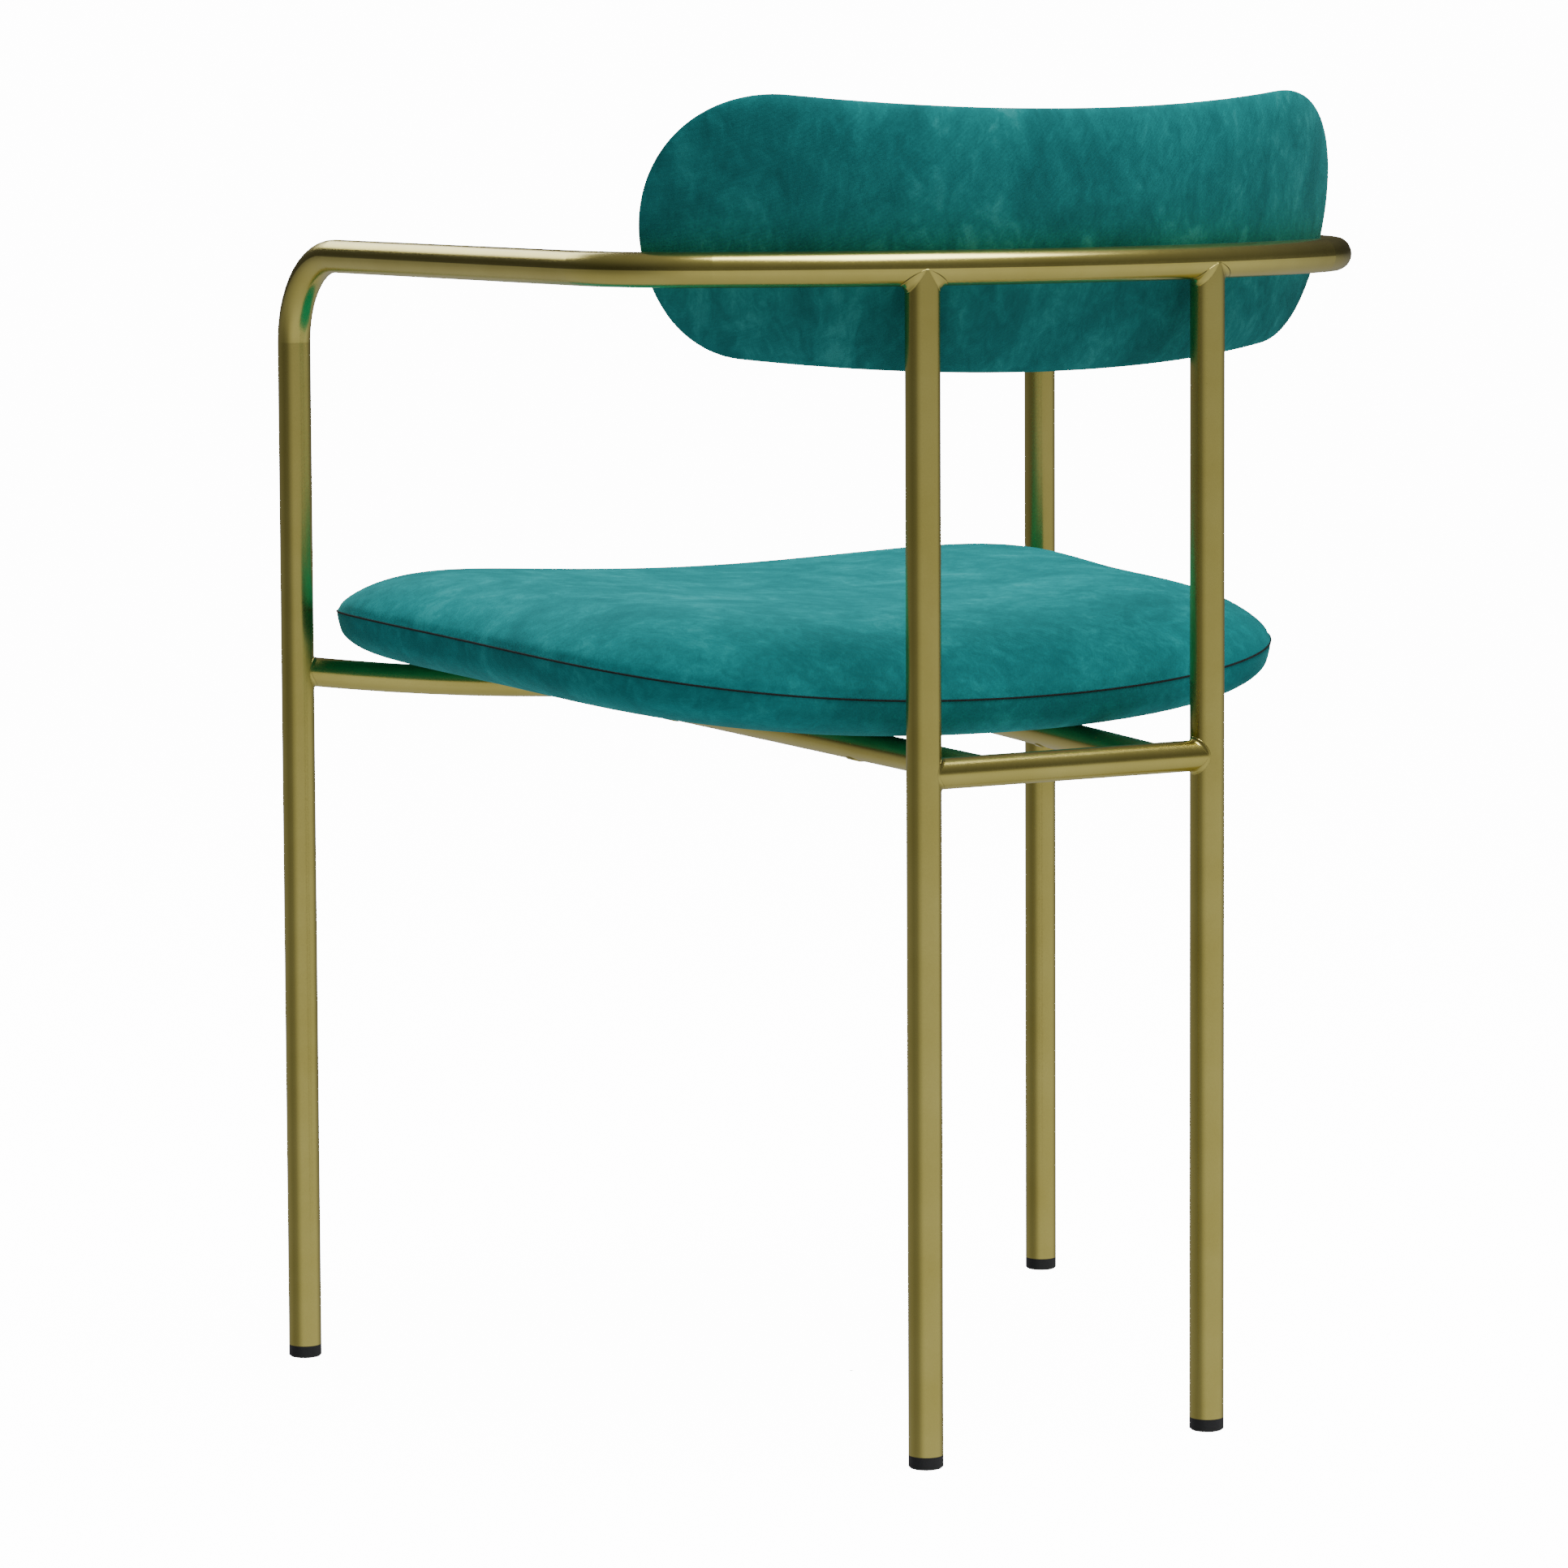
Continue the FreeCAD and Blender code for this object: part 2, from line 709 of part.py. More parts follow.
def make_seat_fasteners():
    nuts, bolts, washers, plugs = [], [], [], []
    for place in seat_bolt_places:
        nut_top = Vector(place.x, place.y, tee_nut_top(place))
        nut_profile = [
            (thread_radius, 0),
            (tee_nut_flange_radius, 0),
            (tee_nut_flange_radius, tee_nut_flange_thickness),
            (tee_nut_barrel_radius, tee_nut_flange_thickness),
            (tee_nut_barrel_radius, tee_nut_flange_thickness + tee_nut_barrel_length),
            (thread_radius, tee_nut_flange_thickness + tee_nut_barrel_length),
        ]
        nuts.append(turned(nut_profile, nut_top, UP * -1))
        head_foot = place + UP * (seat_bolt_head_top - seat_bolt_head_height)
        length = nut_top.z - place.z - seat_bolt_head_top + bolt_tip_gap
        bolt_profile = [
            (0, 0),
            (seat_bolt_head_radius, 0),
            (seat_bolt_head_radius, seat_bolt_head_height),
            (bolt_radius, seat_bolt_head_height),
            (bolt_radius, seat_bolt_head_height + length),
            (0, seat_bolt_head_height + length),
        ]
        bolts.append(turned(bolt_profile, head_foot, UP))
        blank = Part.makeCylinder(washer_radius, rail_r, place + UP * seat_bolt_head_top, UP)
        washer = blank.common(rod([seat_bar_edge()], rail_r - rail_wall))
        washers.append(only_solid(washer.cut(Part.makeCylinder(clearance_radius, rail_od, place, UP))))
        stem = Part.makeCylinder(access_hole_radius - fit_gap / 2, rail_od, place, UP * -1)
        button = stem.common(rod([seat_bar_edge()], rail_r + plug_stand_out))
        plugs.append(only_solid(button.cut(rod([seat_bar_edge()], rail_r - plug_depth))))
    return {
        "seat_tee_nuts": both_sides(nuts),
        "seat_bolts": both_sides(bolts),
        "seat_saddle_washers": both_sides(washers),
        "seat_bar_hole_plugs": both_sides(plugs),
    }


def back_board_layer(front, rear, spread):
    """A slab following the pad's curve, spread this far past the board's own edge."""
    inset = cover_thickness - spread
    return solid_between(
        back_place(back_board_share, inset, level(front)), back_place(back_board_share, inset, level(rear))
    )


rear_half_corner = Vector(-front_leg_spacing, back_pad_y - 60, arm_height - 2 * back_pad_half_height)
rear_half = Part.makeBox(2 * front_leg_spacing, 200, 4 * back_pad_half_height, rear_half_corner)


def make_back_pad():
    board_front = -back_board_front_offset
    board_rear = board_front + back_board_thickness
    behind = board_rear + 2 * back_pad_rear_crown
    board = back_board_layer(board_front, board_rear, 0)
    foam_inset = cover_thickness + layer_gap
    inner = solid_between(
        back_place(1, foam_inset, back_crown(-back_pad_front_crown, foam_inset)),
        back_place(1, foam_inset, back_crown(back_pad_rear_crown, foam_inset)),
    )
    foam = inner.cut(back_board_layer(board_front - layer_gap, behind, layer_gap))
    wadding = inner.common(back_board_layer(board_rear + layer_gap, behind, 0))
    front_cover = solid_between(
        back_place(1, 0, back_crown(-back_pad_front_crown, 0)),
        back_place(1, cover_thickness, back_crown(-back_pad_front_crown, cover_thickness)),
    )
    rear_cover = solid_between(
        back_place(1, cover_thickness, back_crown(back_pad_rear_crown, cover_thickness)),
        back_place(1, 0, back_crown(back_pad_rear_crown, 0)),
    )
    for start, direction in back_bolt_lines():
        hole = Part.makeCylinder(clearance_radius, back_hole_length, start, direction)
        reach = board_front_distance(start, direction)
        head_place = start + direction * (reach - back_bolt_head_recess)
        head_room = Part.makeCylinder(
            back_bolt_head_radius + fit_gap, back_bolt_head_height + back_bolt_head_room, head_place, direction
        )
        for tool in (hole, mirrored(hole)):
            board = board.cut(tool)
            wadding = wadding.cut(tool)
            rear_cover = rear_cover.cut(tool.common(rear_half))
        for tool in (head_room, mirrored(head_room)):
            foam = foam.cut(tool)
            board = board.cut(tool)
    return {
        "back_board": [only_solid(board)],
        "back_foam": [only_solid(foam)],
        "back_wadding": [only_solid(wadding)],
        "back_front_cover": [only_solid(front_cover)],
        "back_rear_cover": [only_solid(rear_cover)],
    }


def make_back_fasteners():
    bolts, nuts = [], []
    for start, direction in back_bolt_lines():
        reach = board_front_distance(start, direction)
        seat_of_head = reach - back_bolt_head_recess + fit_gap
        tip = tube_r - rivet_nut_length + bolt_tip_gap
        bolt_profile = [
            (0, tip),
            (bolt_radius, tip),
            (bolt_radius, seat_of_head),
            (back_bolt_head_radius, seat_of_head),
            (back_bolt_head_radius, seat_of_head + back_bolt_head_height),
            (0, seat_of_head + back_bolt_head_height),
        ]
        bolts.append(turned(bolt_profile, start, direction))
        wall_inside = math.sqrt((tube_r - tube_wall) ** 2 - rivet_nut_bulb_radius ** 2) - fit_gap
        nut_profile = [
            (thread_radius, tube_r - rivet_nut_length),
            (rivet_nut_radius, tube_r - rivet_nut_length),
            (rivet_nut_radius, wall_inside - rivet_nut_bulb_length),
            (rivet_nut_bulb_radius, wall_inside - rivet_nut_bulb_length),
            (rivet_nut_bulb_radius, wall_inside),
            (rivet_nut_radius, wall_inside),
            (rivet_nut_radius, tube_r - fit_gap),
            (thread_radius, tube_r - fit_gap),
        ]
        nuts.append(turned(nut_profile, start, direction))
    return {"back_bolts": both_sides(bolts), "back_rivet_nuts": both_sides(nuts)}


def main():
    rear_leg = make_rear_leg()
    parts = {
        "frame_hoop": [make_frame_hoop()],
        "rear_leg_left": [rear_leg],
        "rear_leg_right": [mirrored(rear_leg)],
        "rear_cross_rail": [make_cross_rail()],
        "front_rail": [make_front_rail()],
        "seat_bar_left": [make_seat_bar(1)],
        "seat_bar_right": [make_seat_bar(-1)],
        "foot_glide_front_left": [make_foot_glide(front_leg_x, front_leg_y)],
        "foot_glide_front_right": [make_foot_glide(-front_leg_x, front_leg_y)],
        "foot_glide_rear_left": [make_foot_glide(rear_leg_x, rear_leg_y)],
        "foot_glide_rear_right": [make_foot_glide(-rear_leg_x, rear_leg_y)],
    }
    parts.update(make_weld_beads())
    parts.update(make_seat_pad())
    parts.update(make_seat_fasteners())
    parts.update(make_back_pad())
    parts.update(make_back_fasteners())
    os.makedirs("parts", exist_ok=True)
    for node, solids in parts.items():
        shape = solids[0] if len(solids) == 1 else Part.makeCompound(solids)
        shape.exportStep(os.path.join("parts", node + ".step"))
        box = shape.BoundBox
        print(
            f"{node:26s} solids {len(shape.Solids)} valid {shape.isValid()} volume {shape.Volume:12.1f}"
            f"  x {box.XMin:7.1f} {box.XMax:7.1f}  y {box.YMin:7.1f} {box.YMax:7.1f}"
            f"  z {box.ZMin:7.1f} {box.ZMax:7.1f}"
        )


main()
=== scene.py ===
"""Dining armchair: brass-plated tube frame with a velvet saddle seat and a curved velvet back pad.

Metres, +Z up, the sitter faces -Y. Tube and fastener nodes keep their own meshes; the pads, the
seams and the weld fillets are surfaces made here from the sizes of the nodes they stand for.
"""
import bpy
import math
import bmesh
import numpy as np
from mathutils import Matrix, Vector


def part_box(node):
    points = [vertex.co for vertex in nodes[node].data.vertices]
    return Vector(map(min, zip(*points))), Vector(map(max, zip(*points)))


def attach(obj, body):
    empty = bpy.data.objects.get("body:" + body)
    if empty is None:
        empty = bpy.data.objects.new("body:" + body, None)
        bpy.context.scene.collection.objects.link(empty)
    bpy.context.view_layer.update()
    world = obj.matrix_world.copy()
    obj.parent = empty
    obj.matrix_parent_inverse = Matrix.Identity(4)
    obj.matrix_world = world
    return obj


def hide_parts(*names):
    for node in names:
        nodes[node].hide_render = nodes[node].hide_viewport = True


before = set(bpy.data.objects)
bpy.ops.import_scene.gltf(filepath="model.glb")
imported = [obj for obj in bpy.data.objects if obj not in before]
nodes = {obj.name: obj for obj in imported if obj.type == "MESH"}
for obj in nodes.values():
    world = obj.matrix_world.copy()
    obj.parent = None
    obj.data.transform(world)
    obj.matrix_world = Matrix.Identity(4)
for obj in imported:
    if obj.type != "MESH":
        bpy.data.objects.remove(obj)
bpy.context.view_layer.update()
MM = 0.001


# ------------------------------------------------------------------ places read from the frame
def centre(node):
    low, high = (np.array(corner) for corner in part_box(node))
    return (low + high) / 2


def size(node):
    low, high = (np.array(corner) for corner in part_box(node))
    return high - low


tube_radius = size("rear_leg_left")[0] / 2
rail_radius = size("rear_cross_rail")[2] / 2
front_leg_x, front_leg_y = centre("foot_glide_front_left")[:2]
rear_leg_x, rear_leg_y = centre("foot_glide_rear_left")[:2]
arm_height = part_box("frame_hoop")[1][2] - tube_radius
cross_rail_z = centre("rear_cross_rail")[2]
front_rail_middle_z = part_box("front_rail")[0][2] + rail_radius
front_rail_end_z = 425.1 * MM
bar_rear_x = 57.9 * MM
bar_front_x = 82.2 * MM
back_rail_radius = 403.2 * MM
front_rail_sag = front_rail_end_z - front_rail_middle_z
front_rail_radius = (front_leg_x ** 2 + front_rail_sag ** 2) / (2 * front_rail_sag)


def front_rail_z(x):
    """Centre line of the front rail: a circular sag between the front legs."""
    return front_rail_middle_z + front_rail_radius - np.sqrt(front_rail_radius ** 2 - x ** 2)


bar_front_z = front_rail_z(bar_front_x)


# ------------------------------------------------------------------ mesh helpers
def make_mesh(name, points, faces, smooth=True):
    mesh = bpy.data.meshes.new(name)
    mesh.from_pydata([tuple(p) for p in points], [], [tuple(int(i) for i in f) for f in faces])
    mesh.validate()
    if smooth:
        mesh.shade_smooth()
    obj = bpy.data.objects.new(name, mesh)
    bpy.context.scene.collection.objects.link(obj)
    return obj


def grid_faces(rows, columns, close_rows=False, close_columns=False, start=0):
    """Quads of a grid of points laid out row by row."""
    r = np.arange(rows if close_rows else rows - 1)[:, None]
    c = np.arange(columns if close_columns else columns - 1)[None, :]
    r2, c2 = (r + 1) % rows, (c + 1) % columns
    quads = np.stack([r * columns + c, r * columns + c2, r2 * columns + c2, r2 * columns + c], axis=-1)
    return quads.reshape(-1, 4) + start


def weld(obj, distance=1e-6):
    """Joins points that lie on each other, then turns every face outwards."""
    work = bmesh.new()
    work.from_mesh(obj.data)
    bmesh.ops.remove_doubles(work, verts=work.verts, dist=distance)
    bmesh.ops.recalc_face_normals(work, faces=work.faces)
    work.to_mesh(obj.data)
    work.free()
    obj.data.shade_smooth()
    return obj


def unit(v):
    return v / np.linalg.norm(v, axis=-1, keepdims=True)


def tube_along(path, radius, sides=10, closed=True):
    """Round cord along a path: each point carries a circle square to the path's direction."""
    ahead = np.roll(path, -1, axis=0) - np.roll(path, 1, axis=0)
    tangent = unit(ahead)
    side = unit(np.cross(tangent, np.array([0.0, 0.0, 1.0])))
    up = np.cross(side, tangent)
    turn = np.linspace(0, 2 * np.pi, sides, endpoint=False)
    ring = np.cos(turn)[None, :, None] * side[:, None] + np.sin(turn)[None, :, None] * up[:, None]
    return (path[:, None] + radius * ring).reshape(-1, 3), grid_faces(len(path), sides, closed, True)


# ------------------------------------------------------------------ seat pad
seat_y = centre("seat_top_cover")[1]
seat_half_depth = size("seat_top_cover")[1] / 2
SEAT_POWER = 2.88
SEAT_WIDENING = 0.093
SEAT_FULLNESS = 0.227
seat_half_width = 246.3 * MM
seat_saddle_radius = 1.458
seat_under_depth = 24.7 * MM
seat_crown_height = 40.8 * MM
seat_lift = 0.3 * MM
CROWN_EDGE_POWER, CROWN_ROUND_POWER = 6.56, 1.21
BELLY_EDGE_POWER, BELLY_ROUND_POWER = 18.6, 2.02
SEAM_PINCH_DEPTH, SEAM_PINCH_WIDTH = 0.006, 0.012
PAD_STEPS = 161


def seat_outline(turn):
    """Superellipse seam line in plan, wider in front and fuller at both ends."""
    reach = (np.abs(np.cos(turn)) ** SEAT_POWER + np.abs(np.sin(turn)) ** SEAT_POWER) ** (-1 / SEAT_POWER)
    across, along = reach * np.cos(turn), reach * np.sin(turn)
    x = seat_half_width * across * (1 + SEAT_WIDENING * along + SEAT_FULLNESS * along ** 2)
    return x, -seat_half_depth * along


def seat_saddle(x, y):
    """Height of the saddle lying on the two seat bars."""
    share = (rear_leg_y - y) / (rear_leg_y - front_leg_y)
    bar = cross_rail_z + (bar_front_z - cross_rail_z) * share
    return bar + rail_radius + seat_lift + (x ** 2 - bar_rear_x ** 2) / (2 * seat_saddle_radius)


def disc_grid(steps):
    """Square grid bent to a disc: share of the way to the rim (rows crowd there) and turn."""
    u = np.linspace(-1, 1, steps)
    u, v = np.meshgrid(u, u, indexing="ij")
    dx, dy = u * np.sqrt(1 - v * v / 2), v * np.sqrt(1 - u * u / 2)
    return np.sin(np.minimum(np.hypot(dx, dy), 1) * np.pi / 2), np.arctan2(dy, dx)


def pinch(share, depth, width):
    """Sewn edge: exp(-((1 - share) / width)^2) of depth, as shares of the way to the rim."""
    return depth * np.exp(-((1 - share) / width) ** 2)


def seat_points(share, turn, side):
    """Point on the seat pad's top (side 1) or underside (side -1).

    The crown is flat in the middle and rolls over to the seam; a soft pinch draws the cloth in
    along the sewn seam.
    """
    edge_x, edge_y = seat_outline(turn)
    rim = np.clip(share, 0, 1)
    if side > 0:
        crown = (1 - rim ** CROWN_EDGE_POWER) ** (1 / CROWN_ROUND_POWER)
        height = seat_under_depth + seat_crown_height * crown
    else:
        height = seat_under_depth * (1 - (1 - rim ** BELLY_EDGE_POWER) ** (1 / BELLY_ROUND_POWER))
    x, y = edge_x * share, seat_y + edge_y * share
    z = seat_saddle(x, y) + height
    drawn = 1 - pinch(rim, SEAM_PINCH_DEPTH, SEAM_PINCH_WIDTH)
    return np.stack([x * drawn, seat_y + (y - seat_y) * drawn, z], axis=-1)


def closed_pad(name, points_of, steps):
    share, turn = disc_grid(steps)
    top = points_of(share, turn, 1).reshape(-1, 3)
    bottom = points_of(share, turn, -1).reshape(-1, 3)
    faces = np.vstack([grid_faces(steps, steps), grid_faces(steps, steps, start=steps * steps)[:, ::-1]])
    return weld(make_mesh(name, np.vstack([top, bottom]), faces), 2e-5)


def rim_path(points_of, count, share=1.0):
    turn = np.linspace(0, 2 * np.pi, count, endpoint=False)
    return points_of(np.full(count, share), turn, 1)


# ------------------------------------------------------------------ back pad
back_z = arm_height + 10.6 * MM
back_radius = 440.0 * MM
recline = math.radians(10.9)
back_half_height = 79.2 * MM
back_smile = 0.248
back_rear_crown = 14.6 * MM
back_front_crown = 22.2 * MM
back_arcs = [(2.9, 3306.0), (129.6, 81.5), (182.8, 54.8)]
DOME_EDGE_POWER, DOME_ROUND_POWER = 1.97, 1.51


def back_outline_table():
    """Half outline of tangent arcs from the middle of the top edge to the middle of the bottom."""
    s, z, heading = 0.0, back_half_height, 0.0
    places = [np.array([[s, z]])]
    for end, radius in [(math.radians(a), r * MM) for a, r in back_arcs] + [(math.pi, None)]:
        if radius is None:
            radius = -s / (math.sin(end) - math.sin(heading))
        h = np.linspace(heading, end, 200)[1:]
        arc_s = s + radius * (np.sin(h) - math.sin(heading))
        arc_z = z - radius * (math.cos(heading) - np.cos(h))
        places.append(np.stack([arc_s, arc_z], axis=-1))
        s, z, heading = arc_s[-1], arc_z[-1], end
    return np.vstack(places)


back_table = back_outline_table()
back_half_width = back_table[:, 0].max()
back_turns = np.arctan2(back_table[:, 0] / back_half_width, back_table[:, 1] / back_half_height)


def back_points(share, turn, side, place_y=0.0):
    """Point on the back pad's rear (side 1) or front (side -1), domed off a curved middle surface."""
    from_top = np.abs(np.arctan2(np.cos(turn), np.sin(turn)))
    s = np.interp(from_top, back_turns, back_table[:, 0]) * np.sign(np.cos(turn)) * share
    z = np.interp(from_top, back_turns, back_table[:, 1]) * share
    crown = (1 - np.clip(share, 0, 1) ** DOME_EDGE_POWER) ** (1 / DOME_ROUND_POWER)
    offset = (back_rear_crown if side > 0 else -back_front_crown) * crown
    angle = s / back_radius
    x = (back_radius + offset) * np.sin(angle)
    y = (back_radius + offset) * np.cos(angle) - back_radius
    rise = z + back_smile * s ** 2
    return np.stack(
        [
            x,
            place_y + y * math.cos(recline) + rise * math.sin(recline),
            back_z - y * math.sin(recline) + rise * math.cos(recline),
        ],
        axis=-1,
    )


back_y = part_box("back_rear_cover")[1][1] - back_points(*disc_grid(81), 1)[..., 1].max()


def settled_back(share, turn, side):
    """The back pad with its rear face where the CAD cover's rear face is."""
    return back_points(share, turn, side, back_y)


# ------------------------------------------------------------------ weld fillets
def fillet(root, branch, branch_radius, main, main_radius, reach):
    """Concave weld skirt where a branch tube meets a main tube.

    Round the branch, the corner between the two tubes is found on the main tube's surface. A
    quadratic curve then runs from the branch, through that corner's pull, on to the main tube.
    """
    branch, main = unit(np.array(branch, float)), unit(np.array(main, float))
    side = unit(np.cross(branch, main))
    other = np.cross(side, branch)
    phi = np.linspace(0, 2 * np.pi, 72, endpoint=False)
    radial = np.cos(phi)[:, None] * side + np.sin(phi)[:, None] * other
    start = branch_radius * radial
    flat = start - (start @ main)[:, None] * main
    lean = branch - (branch @ main) * main
    a, b = lean @ lean, 2 * flat @ lean
    c = (flat ** 2).sum(1) - main_radius ** 2
    slide = (-b + np.sqrt(np.maximum(b * b - 4 * a * c, 0))) / (2 * a)
    corner = start + slide[:, None] * branch
    normal = unit(corner - (corner @ main)[:, None] * main)
    spread = radial - (radial * normal).sum(1)[:, None] * normal
    amount = np.linalg.norm(spread, axis=1, keepdims=True)
    low = corner + reach * amount * branch
    high = corner + reach * spread
    flat_high = high - (high @ main)[:, None] * main
    high = high - flat_high + unit(flat_high) * main_radius
    t = np.linspace(0, 1, 9)[:, None, None]
    skirt = (1 - t) ** 2 * low + 2 * t * (1 - t) * corner + t * t * high
    inner = corner - 0.0012 * amount * (radial + normal)
    shell = np.concatenate([skirt, inner[None]], axis=0)
    return np.array(root)[None, None] + shell


def fillets(name, joints, reach, *stands_for):
    points, faces, count = [], [], 0
    for joint in joints:
        shell = fillet(*joint, reach)
        rows, columns = shell.shape[:2]
        points.append(shell.reshape(-1, 3))
        faces.append(grid_faces(rows, columns, True, True, start=count))
        count += rows * columns
    obj = weld(make_mesh(name, np.vstack(points), np.vstack(faces)), 1e-7)
    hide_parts(*stands_for)
    return obj


# ------------------------------------------------------------------ materials
def linear(hex_colour):
    """sRGB hex to linear RGBA."""
    rgb = [int(hex_colour[i:i + 2], 16) / 255 for i in (1, 3, 5)]
    return [c / 12.92 if c <= 0.04045 else ((c + 0.055) / 1.055) ** 2.4 for c in rgb] + [1.0]


def add(tree, kind, settings=None, **links):
    """Adds a node: settings are attributes or socket values, links join other nodes' outputs."""
    node = tree.nodes.new(kind)
    for key, value in (settings or {}).items():
        if isinstance(key, str) and hasattr(node, key):
            setattr(node, key, value)
        else:
            node.inputs[key].default_value = value
    for key, source in links.items():
        socket = int(key[1:]) if key[1:].isdigit() else key
        tree.links.new(node.inputs[socket], source)
    return node


def new_material(name):
    material = bpy.data.materials.new(name)
    material.use_nodes = True
    tree = material.node_tree
    tree.nodes.clear()
    shader = add(tree, "ShaderNodeBsdfPrincipled")
    out = add(tree, "ShaderNodeOutputMaterial")
    tree.links.new(out.inputs["Surface"], shader.outputs[0])
    return material, tree, shader


def ramp(tree, source, stops):
    node = add(tree, "ShaderNodeValToRGB", i0=source)
    band = node.color_ramp
    while len(band.elements) < len(stops):
        band.elements.new(0.5)
    for element, (place, colour) in zip(band.elements, stops):
        element.position = place
        element.color = linear(colour) if isinstance(colour, str) else [colour] * 3 + [1.0]
    return node.outputs[0]


def velvet(name, stretch, turn, shades):
    """Short-pile polyester velvet: soft sheen, and cloudy patches where the brushed nap leans."""
    material, tree, shader = new_material(name)
    place = add(tree, "ShaderNodeTexCoord").outputs["Object"]
    laid = add(tree, "ShaderNodeMapping", {"Rotation": turn, "Scale": stretch}, Vector=place).outputs[0]
    wide = {"Scale": 22.0, "Detail": 7.0, "Roughness": 0.66, "Distortion": 0.6}
    clouds = add(tree, "ShaderNodeTexNoise", wide, Vector=laid)
    small = {"Scale": 110.0, "Detail": 6.0, "Roughness": 0.7, "Distortion": 0.9}
    patches = add(tree, "ShaderNodeTexNoise", small, Vector=laid)
    mixed = {"operation": "MULTIPLY_ADD", 1: 0.6}
    both = add(tree, "ShaderNodeMath", mixed, i0=patches.outputs[0], i2=clouds.outputs[0])
    colour = ramp(tree, both.outputs[0], list(zip((0.54, 0.74, 0.87, 1.0), shades)))
    tree.links.new(shader.inputs["Base Color"], colour)
    # diagonal ribs 2 pi / (10 x 200) m = 3.1 mm apart in x + y + z, 1.8 mm square to the rib
    twill = {"wave_type": "BANDS", "bands_direction": "DIAGONAL", "Scale": 200.0}
    twill.update({"Distortion": 3.0, "Detail": 2.0, "Detail Scale": 3.0})
    ribs = add(tree, "ShaderNodeTexWave", twill, Vector=place)
    grain = add(tree, "ShaderNodeTexNoise", {"Scale": 900.0, "Detail": 3.0, "Roughness": 0.7}, Vector=place)
    laid_over = {"operation": "MULTIPLY_ADD", 1: 0.35}
    relief = add(tree, "ShaderNodeMath", laid_over, i0=ribs.outputs["Fac"], i2=grain.outputs[0])
    bump = add(tree, "ShaderNodeBump", {"Strength": 0.35, "Distance": 0.0004}, Height=relief.outputs[0])
    tree.links.new(shader.inputs["Normal"], bump.outputs[0])
    shader.inputs["Roughness"].default_value = 0.85
    shader.inputs["Specular IOR Level"].default_value = 0.15
    shader.inputs["Sheen Weight"].default_value = 0.22
    shader.inputs["Sheen Roughness"].default_value = 0.35
    shader.inputs["Sheen Tint"].default_value = linear("#7CCFCB")
    return material


def satin_brass():
    """Brass-plated steel tube, satin polished: pale green-gold with soft streaked reflections."""
    material, tree, shader = new_material("satin_brass_plate")
    place = add(tree, "ShaderNodeTexCoord").outputs["Object"]
    cloud = add(tree, "ShaderNodeTexNoise", {"Scale": 22.0, "Detail": 4.0, "Roughness": 0.55}, Vector=place)
    colour = ramp(tree, cloud.outputs[0], [(0.3, "#BFB361"), (0.7, "#C9BE6D")])
    tree.links.new(shader.inputs["Base Color"], colour)
    fine = add(tree, "ShaderNodeTexNoise", {"Scale": 700.0, "Detail": 4.0, "Roughness": 0.7}, Vector=place)
    rough = add(
        tree,
        "ShaderNodeMapRange",
        {"From Min": 0.3, "From Max": 0.7, "To Min": 0.22, "To Max": 0.27},
        Value=fine.outputs[0],
    )
    tree.links.new(shader.inputs["Roughness"], rough.outputs[0])
    bump = add(tree, "ShaderNodeBump", {"Strength": 0.008, "Distance": 0.0002}, Height=fine.outputs[0])
    tree.links.new(shader.inputs["Normal"], bump.outputs[0])
    shader.inputs["Metallic"].default_value = 1.0
    return material


def moulded_plastic(name, dark, light, roughness):
    """Injection-moulded polythene with a fine matt grain."""
    material, tree, shader = new_material(name)
    place = add(tree, "ShaderNodeTexCoord").outputs["Object"]
    grain = add(tree, "ShaderNodeTexNoise", {"Scale": 1200.0, "Detail": 2.0}, Vector=place)
    tree.links.new(shader.inputs["Base Color"], ramp(tree, grain.outputs[0], [(0.35, dark), (0.65, light)]))
    bump = add(tree, "ShaderNodeBump", {"Strength": 0.15, "Distance": 0.0002}, Height=grain.outputs[0])
    tree.links.new(shader.inputs["Normal"], bump.outputs[0])
    shader.inputs["Roughness"].default_value = roughness
    return material


def birch_plywood():
    """Sanded birch plywood: pale, with long soft grain."""
    material, tree, shader = new_material("sanded_birch_plywood")
    place = add(tree, "ShaderNodeTexCoord").outputs["Object"]
    laid = add(tree, "ShaderNodeMapping", {"Scale": (8.0, 90.0, 300.0)}, Vector=place).outputs[0]
    grain = add(tree, "ShaderNodeTexNoise", {"Scale": 1.0, "Detail": 6.0, "Distortion": 0.4}, Vector=laid)
    colour = ramp(tree, grain.outputs[0], [(0.3, "#B98F5C"), (0.7, "#DDBE8E")])
    tree.links.new(shader.inputs["Base Color"], colour)
    shader.inputs["Roughness"].default_value = 0.6
    return material


def zinc_steel():
    """Zinc-plated steel: bluish grey with faint spangle."""
    material, tree, shader = new_material("zinc_plated_steel")
    place = add(tree, "ShaderNodeTexCoord").outputs["Object"]
    spangle = add(tree, "ShaderNodeTexVoronoi", {"Scale": 600.0}, Vector=place)
    colour = ramp(tree, spangle.outputs["Distance"], [(0.0, "#A3A8AE"), (0.6, "#C5C9CE")])
    tree.links.new(shader.inputs["Base Color"], colour)
    shader.inputs["Metallic"].default_value = 1.0
    shader.inputs["Roughness"].default_value = 0.38
    return material


